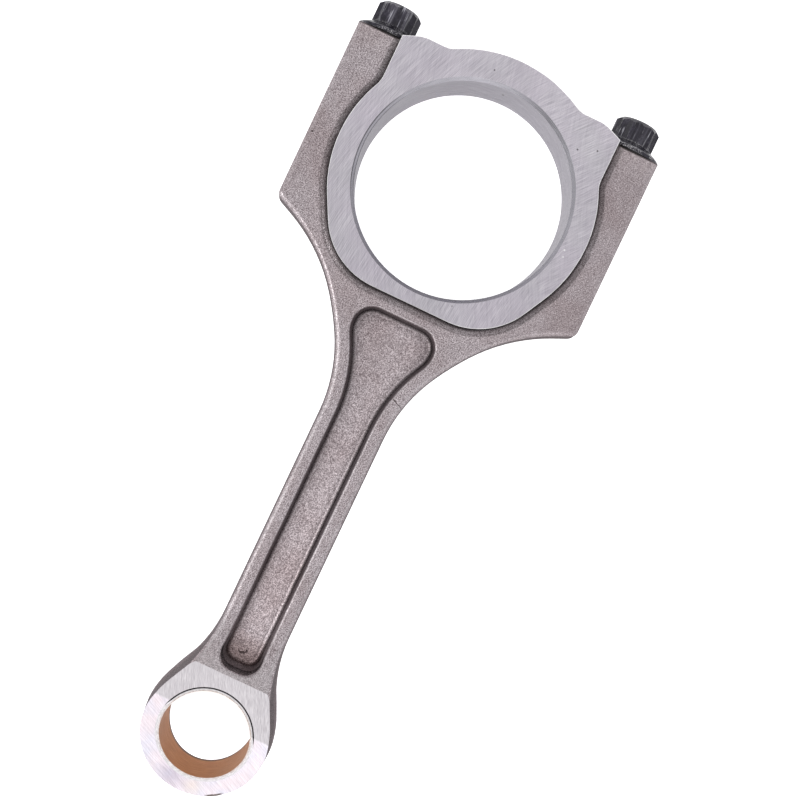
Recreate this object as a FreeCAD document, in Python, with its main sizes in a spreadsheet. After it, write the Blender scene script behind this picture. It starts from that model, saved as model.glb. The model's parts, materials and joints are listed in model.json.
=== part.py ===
import FreeCAD, Part
import Sketcher
import math
import os
from FreeCAD import Vector

# Forged connecting rod of a four-stroke car engine, lying flat.
# Origin: centre of the big-end bore at mid thickness. +X runs along the rod to
# the small end, +Y runs across it from bolt to bolt, +Z is the axis of both bores.
# The big end is split at x = 0: the rod keeps the shoulders, the cap lies at -X,
# and two flanged 12-point bolts along X clamp the cap to the rod.

os.makedirs("parts", exist_ok=True)
doc = FreeCAD.newDocument("connecting_rod")

# ---------------------------------------------------------------- dimensions
# alias, value in mm or degrees, note
DIMS = [
    ("centre_distance", 144.0, "big-end bore to small-end bore"),
    ("big_bore_radius", 26.0, "housing bore for the bearing shells"),
    ("big_bore_chamfer", 0.85, "both ends of the big-end bore"),
    ("thrust_half", 9.9, "half width over the ground thrust faces"),
    ("forging_half", 7.4, "half thickness of arms, shoulders and shank"),
    ("forging_top", 13.0, "raw half thickness before the height profile"),
    ("boss_half", 12.4, "half thickness of the raw small-end boss"),
    ("draft", 4.0, "forging draft, degrees"),
    ("arm_half", 40.15, "half width over the bolt arms at the parting plane"),
    ("arm_corner_radius", 2.5, "outer corner of the shoulder"),
    ("shoulder_x", 21.84, "start of the shoulder curve"),
    ("shoulder_y", 35.715, "start of the shoulder curve"),
    ("shoulder_heading", 65.8, "direction there, degrees below +X"),
    ("shoulder_radius_a", 43.141, "first shoulder arc"),
    ("shoulder_sweep_a", 28.648, "degrees"),
    ("shoulder_radius_b", 69.942, "second shoulder arc"),
    ("shoulder_sweep_b", 8.31, "degrees"),
    ("shoulder_radius_c", 38.745, "third shoulder arc, ends along the shank"),
    ("shank_half", 8.68, "half width of the shank at the parting plane"),
    ("flare_x", 116.36, "where the shank starts to widen to the small end"),
    ("flare_radius", 32.875, "concave flare"),
    ("flare_sweep", 26.41, "degrees"),
    ("flare_line", 3.965, "straight between flare and eye"),
    ("eye_radius", 16.3, "outer radius of the small end at the parting plane"),
    ("rise_x", 112.0, "where the section starts to thicken to the boss"),
    ("rise_radius", 36.0, "concave rise"),
    ("rise_round", 8.0, "convex end of the rise"),
    ("edge_round", 1.25, "rounding of the forged edges"),
    ("floor_half", 2.5, "half web thickness between the two channels"),
    ("channel_draft", 8.0, "degrees"),
    ("channel_start", 33.6, "rim of the channel at the big end"),
    ("channel_corner", 5.05, "rim corner radius at the big end"),
    ("channel_wide", 10.65, "half width of the rim at its widest"),
    ("channel_bulge", 8.5, "convex rim arc after the widest point"),
    ("channel_turn", 28.5, "degrees"),
    ("channel_half", 4.93, "half width of the rim along the shank"),
    ("channel_end", 126.6, "rim of the channel at the small end"),
    ("channel_end_corner", 3.5, "rim corner radius at the small end"),
    ("channel_fillet", 1.2, "at the channel floor"),
    ("rim_round", 0.7, "rounding of the channel rim"),
    ("thrust_radius", 32.3, "thrust face around the bore at the joint"),
    ("thrust_line_x", 15.0, "end of that circle on the rod side"),
    ("thrust_corner_x", 20.1, "start of the corner arc"),
    ("thrust_flat_x", 29.8, "straight edge of the thrust face on the rod side"),
    ("edge_break", 0.15, "deburred edges of the thrust faces"),
    ("thrust_fillet", 1.95, "foot of the thrust face step"),
    ("crown_radius", 33.45, "thrust face over the crown of the cap"),
    ("crown_blend", 5.0, "crown to flange blend"),
    ("crown_flat_x", 28.75, "end face of the cap flange, towards -X"),
    ("flange_corner_y", 23.9, "where the flange end starts to slope"),
    ("flange_tip_x", 26.85, "outer corner of the cap flange"),
    ("flange_corner_radius", 8.0, "rounding between flange end and slope"),
    ("flange_half", 28.65, "half width of the cap flange"),
    ("flange_blend", 6.0, "flange to thrust circle blend"),
    ("seat_x", 26.1, "bolt seat, towards -X"),
    ("bolt_y", 32.2, "bolt axis from the rod axis"),
    ("spot_radius", 8.65, "spot face of the bolt seat"),
    ("cap_hole_radius", 4.58, "guide bore of the bolt in the cap"),
    ("rod_hole_radius", 4.55, "bolt hole in the rod, thread drawn as a plain bore"),
    ("rod_hole_depth", 19.5, "from the joint"),
    ("mouth_chamfer", 0.6, "mouth of the bolt hole"),
    ("boss_face_half", 11.3, "half width over the milled small-end faces"),
    ("taper_x", 139.2, "where the small-end faces start to taper"),
    ("taper_angle", 14.25, "degrees per side"),
    ("bush_outer", 12.0, "small-end housing bore radius"),
    ("bush_layer", 11.4, "between steel backing and bronze lining"),
    ("bush_groove", 0.35, "chamfer of the bush at the housing bore"),
    ("bush_inner", 11.0, "gudgeon pin bore radius"),
    ("bolt_radius", 4.5, "M9 x 1 major radius, and its guide collars"),
    ("thread_pitch", 1.0, "M9 x 1"),
    ("bolt_waist", 3.85, "waisted shank radius"),
    ("bolt_flange_radius", 8.2, "bolt flange"),
    ("bolt_flange_rim", 1.3, "rim thickness"),
    ("bolt_flange_height", 2.65, "flange height at the head"),
    ("bolt_head_height", 8.2, "seat to end of head"),
    ("bolt_head_flats", 10.0, "across flats of the 12-point head"),
    ("bolt_length", 43.6, "seat to tip"),
]
sheet = doc.addObject("Spreadsheet::Sheet", "dims")
for row, (alias, value, note) in enumerate(DIMS, start=1):
    sheet.set(f"A{row}", alias)
    sheet.set(f"B{row}", str(value))
    sheet.set(f"C{row}", note)
    sheet.setAlias(f"B{row}", alias)
doc.recompute()

# Raw stock left past the joint plane on rod and cap until the joint is cut
JOINT_STOCK = 3.0
# How far each thrust pad outline runs past the joint plane
THRUST_OVERLAP = 10.0

# The cracked joint face seen along Z, a shallow irregular line: x, y
FRACTURE = [
    (0.0, -46), (0.0, -41), (0.11, -39.2), (-0.06, -37.9), (0.09, -36.1),
    (-0.12, -34.6), (0.05, -32.9), (0.13, -31.0), (-0.08, -29.3), (0.10, -27.7),
    (-0.03, -26.4), (0.0, -24.0), (0.0, 0), (0.0, 24.0), (0.06, 26.5),
    (-0.10, 27.9), (0.08, 29.6), (-0.05, 31.2), (0.12, 33.1), (-0.09, 34.7),
    (0.04, 36.3), (0.12, 38.0), (-0.07, 39.5), (0.0, 41), (0.0, 46),
]


def val(alias):
    return float(sheet.get(alias))


def vals(*aliases):
    return [val(alias) for alias in aliases]


def tan(degrees):
    return math.tan(math.radians(degrees))


# --------------------------------------------------------------------- paths
# A path is a list of segments (start, end, middle, radius alias); a line has
# no middle, and an arc without an alias keeps the radius it is drawn with.
def line(start, end):
    return (Vector(*start, 0), Vector(*end, 0), None, None)


def arc(start, end, centre, alias=None):
    """Arc from start to end about centre, the short way round."""
    centre = Vector(*centre, 0)
    start, end = Vector(*start, 0), Vector(*end, 0)
    outward = (start - centre) + (end - centre)
    middle = centre + outward.normalize() * (start - centre).Length
    return (start, end, middle, alias)


def loop(points):
    """Closed polygon through the points."""
    return [line(point, after) for point, after in zip(points, points[1:] + points[:1])]


def mirrored(path):
    """The same path reflected in the sketch's X axis, run backwards."""
    def flip(point):
        return Vector(point.x, -point.y, 0)

    return [
        (flip(end), flip(start), flip(middle) if middle else None, alias)
        for start, end, middle, alias in reversed(path)
    ]


def both_halves(path):
    return path + mirrored(path)


# ------------------------------------------------------------------- helpers
def new_body(label):
    body = doc.addObject("PartDesign::Body", label)
    body.Label = label
    return body


def plane(body, role):
    return next(o for o in body.Origin.OriginFeatures if o.Role == role)


def new_sketch(body, name, role, *paths, offset=None):
    sketch = body.newObject("Sketcher::SketchObject", name)
    sketch.AttachmentSupport = [(plane(body, role), "")]
    sketch.MapMode = "FlatFace"
    if offset:
        sketch.setExpression("AttachmentOffset.Base.z", "dims." + offset)
    for path in paths:
        draw(sketch, path)
    return sketch


def draw(sketch, path):
    """Adds the closed path, joins its ends and binds the radii that have a cell."""
    first = sketch.GeometryCount
    for start, end, middle, alias in path:
        if middle is None:
            sketch.addGeometry(Part.LineSegment(start, end), False)
        else:
            sketch.addGeometry(Part.Arc(start, middle, end), False)

    def end_at(index, point):
        """1 or 2: the end of the geometry nearest the point; the sketcher may swap arc ends."""
        to_first = (sketch.getPoint(index, 1) - point).Length
        to_second = (sketch.getPoint(index, 2) - point).Length
        return 1 if to_first < to_second else 2

    joints = []
    for i in range(len(path)):
        j = (i + 1) % len(path)
        here, there = end_at(first + i, path[i][1]), end_at(first + j, path[j][0])
        joints.append(Sketcher.Constraint("Coincident", first + i, here, first + j, there))
    sketch.addConstraint(joints)
    for i, (start, end, middle, alias) in enumerate(path):
        if alias:
            centre = Part.Arc(start, middle, end).toShape().Curve.Center
            radius = Sketcher.Constraint("Radius", first + i, (start - centre).Length)
            bind(sketch, radius, alias)


def bind(sketch, constraint, alias):
    index = sketch.addConstraint(constraint)
    sketch.setExpression(f"Constraints[{index}]", "dims." + alias)


def checked(feature):
    doc.recompute()
    if "Invalid" in feature.State or "Error" in feature.State or feature.Shape.isNull():
        raise RuntimeError(f"{feature.Label}: {feature.State}")
    return feature


def checked_cut(feature, volume_before):
    checked(feature)
    if feature.Shape.Volume > volume_before - 1e-3:
        raise RuntimeError(f"{feature.Label} cuts nothing")
    return feature


def pad(body, name, sketch, length, taper=None, backwards=False):
    feature = body.newObject("PartDesign::Pad", name)
    feature.Profile = sketch
    feature.setExpression("Length", "dims." + length)
    if taper:
        feature.setExpression("TaperAngle", taper)
    feature.Reversed = backwards
    return checked(feature)


def pocket_through(body, name, sketch):
    before = body.Shape.Volume
    feature = body.newObject("PartDesign::Pocket", name)
    feature.Profile = sketch
    feature.Type = "ThroughAll"
    feature.SideType = "Symmetric"
    return checked_cut(feature, before)


def mirror(body, name, feature, role):
    copy = body.newObject("PartDesign::Mirrored", name)
    copy.Originals = [feature]
    copy.MirrorPlane = (plane(body, role), [""])
    body.Tip = copy
    return checked(copy)


def turn(body, kind, name, sketch, axis):
    feature = body.newObject("PartDesign::" + kind, name)
    feature.Profile = sketch
    feature.ReferenceAxis = (sketch, [axis])
    feature.Angle = 360
    return feature


def revolve(body, name, sketch, axis):
    return checked(turn(body, "Revolution", name, sketch, axis))


def groove(body, name, sketch, axis):
    before = body.Shape.Volume
    return checked_cut(turn(body, "Groove", name, sketch, axis), before)


def dress_edges(body, kind, name, base, test, alias):
    """Fillet or Chamfer on the edges of base whose sample points pass the test."""
    names = [f"Edge{i}" for i, edge in enumerate(base.Shape.Edges, start=1)
             if test(points_on(edge))]
    feature = body.newObject("PartDesign::" + kind, name)
    feature.Base = (base, names)
    feature.setExpression("Radius" if kind == "Fillet" else "Size", "dims." + alias)
    body.Tip = feature
    return checked(feature)


def points_on(edge, count=7):
    first, last = edge.ParameterRange
    return [edge.valueAt(first + (last - first) * k / (count - 1)) for k in range(count)]


# ------------------------------------------------------------- edge selectors
def at_height(points, height, tolerance=1e-4):
    """True if the points all lie at this distance above or below mid thickness."""
    return all(abs(abs(p.z) - height) < tolerance for p in points)


def forged_edge(points):
    """Upper and lower edges all round the forging, without those at the joint."""
    xs = [p.x for p in points]
    ys = [p.y for p in points]
    if min(xs) < -2.95 and max(xs) < -2.0:
        return False
    if min(abs(p.z) for p in points) < val("forging_half") - 0.01:
        return False
    crosses_axis = max(ys) - min(ys) > 4 and min(ys) * max(ys) < 0
    return not (max(xs) - min(xs) < 1e-6 and crosses_axis)


def channel_floor_edge(points):
    return at_height(points, val("floor_half")) and min(abs(p.x) for p in points) > 30


def channel_rim_edge(points):
    """Edges at or above the forged top, within the width the channel has there."""
    if min(p.x for p in points) < 33.0 or max(p.x for p in points) > 128.2:
        return False
    if any(abs(p.z) < val("forging_half") - 0.02 for p in points):
        return False
    return all(abs(p.y) < (11.2 if p.x < 48 else 7.0 if p.x < 60 else 5.8) for p in points)


def step_foot(points):
    """Edges where the thrust step meets the forged top."""
    if not at_height(points, val("forging_half"), tolerance=1e-3):
        return False
    xs = [p.x for p in points]
    if max(xs) - min(xs) < 1e-3 and 2 < abs(xs[0]) < 4.5:  # raw end past the joint
        return False
    return all(
        26.5 < math.hypot(p.x, p.y) < 38.8 and abs(p.x) < 32 and abs(p.y) < 33.6
        for p in points
    )


def thrust_rim(points):
    """Outer edges of the ground thrust faces, without the joint line and the bore chamfer."""
    outside_bore = min(math.hypot(p.x, p.y) for p in points) > 28.3
    off_joint = max(abs(p.x) for p in points) > 0.3
    return at_height(points, val("thrust_half")) and outside_bore and off_joint


def ear_edge(points):
    """Upper and lower edges near the outer sides of the cap ears."""
    at_top = min(abs(p.z) for p in points) > val("forging_half") - 0.01
    return at_top and min(abs(p.y) for p in points) > 35


# -------------------------------------------- features shared by rod and cap
def add_thrust_pads(body, prefix, path):
    """Raised pad on both faces, drafted down from the thrust face, with a filleted foot."""
    sketch = new_sketch(body, prefix + "_outline", "XY_Plane", both_halves(path),
                        offset="thrust_half")
    upper = pad(body, prefix + "_up", sketch, "thrust_half", taper="dims.draft", backwards=True)
    both = mirror(body, prefix + "_both", upper, "XY_Plane")
    dress_edges(body, "Fillet", prefix + "_feet", both, step_foot, "thrust_fillet")


def break_thrust_edges(body, prefix):
    dress_edges(body, "Chamfer", prefix + "_edges", body.Tip, thrust_rim, "edge_break")


def cut_big_bore(body, suffix=""):
    """Big-end bore with a 45 degree chamfer at each end; profile in radius, z."""
    radius, chamfer, half = vals("big_bore_radius", "big_bore_chamfer", "thrust_half")
    past = 2.0  # the chamfer cones run on past the faces
    end = half + past
    mouth = radius + chamfer + past
    profile = [
        (0, -end), (mouth, -end), (radius, chamfer - half),
        (radius, half - chamfer), (mouth, end), (0, end),
    ]
    sketch = new_sketch(body, "big_bore_profile" + suffix, "XZ_Plane", loop(profile))
    groove(body, "big_bore" + suffix, sketch, "V_Axis")


def crack_joint(body, waste_x, suffix=""):
    """Removes everything between the fracture line and waste_x."""
    outline = FRACTURE + [(waste_x, 46), (waste_x, -46)]
    sketch = new_sketch(body, "joint_face" + suffix, "XY_Plane", loop(outline))
    pocket_through(body, "joint_crack" + suffix, sketch)


def drill_both(body, name, both_name, profile, axis_ends):
    """Bores around both bolt axes; the profile is x, radius."""
    bolt_y = val("bolt_y")
    outline = [(x, bolt_y + radius) for x, radius in profile]
    sketch = new_sketch(body, name + "_profile", "XY_Plane", loop(outline))
    start, end = [Vector(x, bolt_y, 0) for x in axis_ends]
    sketch.addGeometry(Part.LineSegment(start, end), True)
    one = groove(body, name + "_right", sketch, "Axis0")
    mirror(body, both_name, one, "XZ_Plane")


def mill_small_end(body, sketch_name, cut_name, origin_x=0.0):
    """Faces the small end flat, then tapered to the tip; origin_x is the body's own x."""
    face, taper_start = vals("boss_face_half", "taper_x")
    start, end, above = 120.0 - origin_x, 168.0 - origin_x, 16.0
    taper_start -= origin_x
    end_face = face - (end - taper_start) * tan(val("taper_angle"))
    waste = [(start, above), (start, face), (taper_start, face), (end, end_face), (end, above)]
    sketch = new_sketch(body, sketch_name, "XZ_Plane",
                        loop(waste), loop([(x, -z) for x, z in waste]))
    pocket_through(body, cut_name, sketch)


# ------------------------------------------------------------------ rod body
def shoulder_path():
    """Upper outline from the joint over the arm and down to the shank."""
    arm, corner_radius, x, y = vals("arm_half", "arm_corner_radius", "shoulder_x", "shoulder_y")
    slope = math.radians(val("shoulder_heading"))
    sharp_x = x - (arm - y) / math.tan(slope)
    tangent = corner_radius * math.tan(slope / 2)
    arm_end = (sharp_x - tangent, arm)
    corner_end = (sharp_x + tangent * math.cos(slope), arm - tangent * math.sin(slope))
    path = [
        line((-JOINT_STOCK, 0), (-JOINT_STOCK, arm)),
        line((-JOINT_STOCK, arm), arm_end),
        arc(arm_end, corner_end, (arm_end[0], arm - corner_radius), "arm_corner_radius"),
        line(corner_end, (x, y)),
    ]
    # three tangent arcs; the last one turns until it runs along the shank
    heading = -slope
    for letter in "abc":
        last = letter == "c"
        radius = val("shoulder_radius_" + letter)
        sweep = -heading if last else math.radians(val("shoulder_sweep_" + letter))
        centre_x = x - radius * math.sin(heading)
        centre_y = y + radius * math.cos(heading)
        heading += sweep
        end = (centre_x + radius * math.sin(heading), centre_y - radius * math.cos(heading))
        if last:
            end = (end[0], val("shank_half"))
            centre_y = end[1] + radius
        path.append(arc((x, y), end, (centre_x, centre_y)))
        x, y = end
    return path, (x, y)


def eye_path(shank_start):
    """Upper outline along the shank, out through the flare and round the small end."""
    half, flare_x, flare_radius, straight = vals(
        "shank_half", "flare_x", "flare_radius", "flare_line")
    eye_x, eye_radius = vals("centre_distance", "eye_radius")
    sweep = math.radians(val("flare_sweep"))
    flare_end = (flare_x + flare_radius * math.sin(sweep),
                 half + flare_radius * (1 - math.cos(sweep)))
    line_end = (flare_end[0] + straight * math.cos(sweep),
                flare_end[1] + straight * math.sin(sweep))
    # an arc from the straight that runs tangentially into the eye circle
    normal_x, normal_y = math.sin(sweep), -math.cos(sweep)
    dx, dy = line_end[0] - eye_x, line_end[1]
    blend_radius = (eye_radius**2 - dx**2 - dy**2) / (
        2 * (normal_x * dx + normal_y * dy + eye_radius))
    centre_x = line_end[0] + blend_radius * normal_x
    centre_y = line_end[1] + blend_radius * normal_y
    away = math.hypot(centre_x - eye_x, centre_y)
    touch = (eye_x - eye_radius * (centre_x - eye_x) / away, -eye_radius * centre_y / away)
    return [
        line(shank_start, (flare_x, half)),
        arc((flare_x, half), flare_end, (flare_x, half + flare_radius), "flare_radius"),
        line(flare_end, line_end),
        arc(line_end, touch, (centre_x, centre_y)),
        arc(touch, (eye_x + eye_radius, 0), (eye_x, 0)),
    ]


def height_path():
    """Material above the rod seen along Y: flat over the shank, rising to the boss."""
    low, high, rise_x = vals("forging_half", "boss_half", "rise_x")
    concave, convex = vals("rise_radius", "rise_round")
    back, front, above = -12, 175, 20  # clear of the forging
    turn_angle = math.acos(1 - (high - low) / (concave + convex))
    change = (rise_x + concave * math.sin(turn_angle), low + concave * (1 - math.cos(turn_angle)))
    crest = (change[0] + convex * math.sin(turn_angle), high)
    return [
        line((back, low), (rise_x, low)),
        arc((rise_x, low), change, (rise_x, low + concave), "rise_radius"),
        arc(change, crest, (crest[0], high - convex), "rise_round"),
        line(crest, (front, high)),
        line((front, high), (front, above)),
        line((front, above), (back, above)),
        line((back, above), (back, low)),
    ]


def channel_path():
    """Upper half of the channel floor: the rim outline moved in by the draft."""
    inset = (val("forging_half") - val("floor_half")) * tan(val("channel_draft"))
    start, end = val("channel_start") + inset, val("channel_end") - inset
    wide, corner, bulge, half, end_corner = [
        size - inset for size in vals("channel_wide", "channel_corner", "channel_bulge",
                                      "channel_half", "channel_end_corner")]
    turn_angle = math.radians(val("channel_turn"))
    widest = (start + corner, wide)
    bulge_end = (widest[0] + bulge * math.sin(turn_angle),
                 wide - bulge * (1 - math.cos(turn_angle)))
    neck = (bulge_end[1] - half) / (1 - math.cos(turn_angle))
    neck_end = (bulge_end[0] + neck * math.sin(turn_angle), half)
    return [
        line((start, 0), (start, wide - corner)),
        arc((start, wide - corner), widest, (widest[0], wide - corner)),
        arc(widest, bulge_end, (widest[0], wide - bulge)),
        arc(bulge_end, neck_end, (neck_end[0], half + neck)),
        line(neck_end, (end - end_corner, half)),
        arc((end - end_corner, half), (end, half - end_corner),
            (end - end_corner, half - end_corner)),
        line((end, half - end_corner), (end, 0)),
    ]


def rod_thrust_path():
    """Upper half of the thrust face on the rod side."""
    radius, line_x, corner_x, flat_x = vals(
        "thrust_radius", "thrust_line_x", "thrust_corner_x", "thrust_flat_x")
    start = (-THRUST_OVERLAP, math.sqrt(radius**2 - THRUST_OVERLAP**2))
    line_y = math.sqrt(radius**2 - line_x**2)
    slope = math.atan2(line_x, line_y)  # direction of the circle there, below +X
    corner_y = line_y - (corner_x - line_x) * math.tan(slope)
    corner_radius = (flat_x - corner_x) / (1 - math.sin(slope))
    centre = (corner_x - corner_radius * math.sin(slope),
              corner_y - corner_radius * math.cos(slope))
    return [
        line((-THRUST_OVERLAP, 0), start),
        arc(start, (line_x, line_y), (0, 0), "thrust_radius"),
        line((line_x, line_y), (corner_x, corner_y)),
        arc((corner_x, corner_y), (flat_x, centre[1]), centre),
        line((flat_x, centre[1]), (flat_x, 0)),
    ]


def forge_rod(rod):
    shoulder, shank_start = shoulder_path()
    plan = both_halves(shoulder + eye_path(shank_start))
    sketch = new_sketch(rod, "forging_plan", "XY_Plane", plan)
    upper = pad(rod, "forging_half_up", sketch, "forging_top", taper="-dims.draft")
    mirror(rod, "forging_raw", upper, "XY_Plane")
    waste = height_path()
    sketch = new_sketch(rod, "height_profile", "XZ_Plane", waste, mirrored(waste))
    shaped = pocket_through(rod, "height_cut", sketch)
    dress_edges(rod, "Fillet", "forged_edges", shaped, forged_edge, "edge_round")


def cut_channels(rod):
    """The two channels of the I-section, cut upwards and downwards from their floors."""
    sketch = new_sketch(rod, "channel_floor", "XY_Plane", both_halves(channel_path()),
                        offset="floor_half")
    upper = rod.newObject("PartDesign::Pocket", "channel_up")
    upper.Profile = sketch
    upper.Length = 12  # out past the top of the forging
    upper.Reversed = True
    upper.setExpression("TaperAngle", "dims.channel_draft")
    checked(upper)
    both = mirror(rod, "channel_both", upper, "XY_Plane")
    filleted = dress_edges(rod, "Fillet", "channel_fillets", both, channel_floor_edge,
                           "channel_fillet")
    dress_edges(rod, "Fillet", "channel_rims", filleted, channel_rim_edge, "rim_round")


def cut_small_bore(rod):
    """Small-end housing bore."""
    centre_x, radius = vals("centre_distance", "bush_outer")
    sketch = new_sketch(rod, "small_bore_circle", "XY_Plane")
    circle = sketch.addGeometry(
        Part.Circle(Vector(centre_x, 0, 0), Vector(0, 0, 1), radius), False)
    bind(sketch, Sketcher.Constraint("Radius", circle, radius), "bush_outer")
    place = Sketcher.Constraint("DistanceX", -1, 1, circle, 3, centre_x)
    bind(sketch, place, "centre_distance")
    sketch.addConstraint(Sketcher.Constraint("PointOnObject", circle, 3, -1))
    pocket_through(rod, "small_bore", sketch)


def drill_rod(rod):
    """Blind bolt holes in the arms, with a 45 degree mouth and a conical bottom."""
    radius, depth, mouth = vals("rod_hole_radius", "rod_hole_depth", "mouth_chamfer")
    cone_slope = 31  # degrees, drill point
    profile = [
        (-JOINT_STOCK, 0), (-JOINT_STOCK, radius + mouth + JOINT_STOCK), (mouth, radius),
        (depth, radius), (depth + radius * tan(cone_slope), 0),
    ]
    drill_both(rod, "bolt_hole", "bolt_holes", profile, axis_ends=(-4, 26))


def build_rod():
    rod = new_body("rod_body")
    forge_rod(rod)
    cut_channels(rod)
    add_thrust_pads(rod, "thrust", rod_thrust_path())
    mill_small_end(rod, "small_end_milling", "small_end_faces")
    cut_big_bore(rod)
    cut_small_bore(rod)
    drill_rod(rod)
    crack_joint(rod, waste_x=-30)
    break_thrust_edges(rod, "thrust")
    return rod


# --------------------------------------------------------------- bearing cap
def cap_thrust_path():
    """Upper half of the thrust face on the cap: crown, flange, circle at the joint."""
    # crown, blended into the end face of the flange
    crown, blend, flat_x = vals("crown_radius", "crown_blend", "crown_flat_x")
    blend_x, away = -(flat_x + blend), crown + blend
    blend_y = math.sqrt(away**2 - blend_x**2)
    crown_end = (blend_x * crown / away, blend_y * crown / away)
    # the end face turns into the slope through a large radius
    corner_y, tip_x, half, corner_radius = vals(
        "flange_corner_y", "flange_tip_x", "flange_half", "flange_corner_radius")
    slope = math.atan2(flat_x - tip_x, half - corner_y)
    tangent = corner_radius * math.tan(slope / 2)
    flat_end = (-flat_x, corner_y - tangent)
    slope_start = (-flat_x + tangent * math.sin(slope), corner_y + tangent * math.cos(slope))
    # side of the flange, blended into the thrust circle
    side_blend, circle = vals("flange_blend", "thrust_radius")
    side_y, side_away = half + side_blend, circle + side_blend
    side_x = -math.sqrt(side_away**2 - side_y**2)
    circle_start = (side_x * circle / side_away, side_y * circle / side_away)
    circle_end = (THRUST_OVERLAP, math.sqrt(circle**2 - THRUST_OVERLAP**2))
    return [
        arc((-crown, 0), crown_end, (0, 0), "crown_radius"),
        arc(crown_end, (-flat_x, blend_y), (blend_x, blend_y), "crown_blend"),
        line((-flat_x, blend_y), flat_end),
        arc(flat_end, slope_start, (-flat_x + corner_radius, flat_end[1]),
            "flange_corner_radius"),
        line(slope_start, (-tip_x, half)),
        line((-tip_x, half), (side_x, half)),
        arc((side_x, half), circle_start, (side_x, side_y), "flange_blend"),
        arc(circle_start, circle_end, (0, 0), "thrust_radius"),
        line(circle_end, (THRUST_OVERLAP, 0)),
    ]


def forge_ears(cap):
    """Block across the joint; its end leans back to the bolt seat at full height."""
    arm = val("arm_half")
    end = -val("seat_x") - val("forging_half") * tan(val("draft"))
    plan = [(end, -arm), (JOINT_STOCK, -arm), (JOINT_STOCK, arm), (end, arm)]
    sketch = new_sketch(cap, "ear_plan", "XY_Plane", loop(plan))
    upper = pad(cap, "ears_half_up", sketch, "forging_half", taper="-dims.draft")
    ears = mirror(cap, "ears", upper, "XY_Plane")
    dress_edges(cap, "Fillet", "ear_edges", ears, ear_edge, "edge_round")


def cut_bolt_seats(cap):
    """Ear ends faced flat, spot faces cut into the crown, guide bores to the joint."""
    seat = val("seat_x")
    inner_y = val("flange_half") + 0.3  # clear of the flange
    waste = [
        loop([(-seat, side * inner_y), (-seat, side * 50), (-40, side * 50), (-40, side * inner_y)])
        for side in (1, -1)
    ]
    pocket_through(cap, "seat_faces", new_sketch(cap, "seat_plan", "XY_Plane", *waste))
    start = -45.0  # beyond the crown
    for name, end, alias in (("spot", -seat, "spot_radius"), ("guide", 5.0, "cap_hole_radius")):
        radius = val(alias)
        profile = [(start, 0), (start, radius), (end, radius), (end, 0)]
        drill_both(cap, name, name + "_both", profile, axis_ends=(-50, 10))


def build_cap():
    cap = new_body("bearing_cap")
    forge_ears(cap)
    add_thrust_pads(cap, "crown", cap_thrust_path())
    cut_bolt_seats(cap)
    cut_big_bore(cap, suffix="_cap")
    crack_joint(cap, waste_x=30, suffix="_cap")
    break_thrust_edges(cap, "crown")
    return cap


# ------------------------------------------------------ small-end bush layers
def build_bush(label, outer_alias, inner_alias, chamfer=0.0):
    """Ring about its own Z axis, then moved to the small end; section in radius, z."""
    body = new_body(label)
    half, outer, inner = vals("boss_face_half", outer_alias, inner_alias)
    if chamfer:
        rise = 1.6 * chamfer  # the chamfer is longer along the bore than across it
        section = [
            (inner, -half), (outer - chamfer, -half), (outer, rise - half),
            (outer, half - rise), (outer - chamfer, half), (inner, half),
        ]
    else:
        section = [(inner, -half), (outer, -half), (outer, half), (inner, half)]
    sketch = new_sketch(body, label + "_section", "XZ_Plane", loop(section))
    outer_side, inner_side = (2 if chamfer else 1), len(section) - 1
    for side, alias in ((outer_side, outer_alias), (inner_side, inner_alias)):
        bind(sketch, Sketcher.Constraint("DistanceX", -1, 1, side, 1, val(alias)), alias)
    revolve(body, label + "_ring", sketch, "V_Axis")
    mill_small_end(body, label + "_taper", label + "_ends", origin_x=val("centre_distance"))
    body.setExpression("Placement.Base.x", "dims.centre_distance")
    return body


# ----------------------------------------------------------------- cap bolts
# Each bolt is built along X with its seat at x = 0 and its head towards -X.
def turn_bolt(body, label, corner):
    """Flange, waisted shank with guide collars, and tip; profile in x, radius."""
    radius, waist, length = vals("bolt_radius", "bolt_waist", "bolt_length")
    flange, rim, height = vals("bolt_flange_radius", "bolt_flange_rim", "bolt_flange_height")
    profile = [
        (-height - 1.0, 0), (-height - 1.0, corner - 0.9), (-height, corner - 0.2),
        (-rim, flange - 0.25), (-rim + 0.25, flange), (-0.3, flange), (0, flange - 0.3),
        (0, radius), (2.6, radius), (3.6, waist), (20.4, waist), (21.4, radius),
        (25.6, radius), (26.3, waist), (27.2, waist), (27.9, radius),
        (length - 1.0, radius), (length, radius - 1.0), (length, 0),
    ]
    sketch = new_sketch(body, label + "_profile", "XY_Plane", loop(profile))
    revolve(body, label + "_turned", sketch, "H_Axis")


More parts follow.
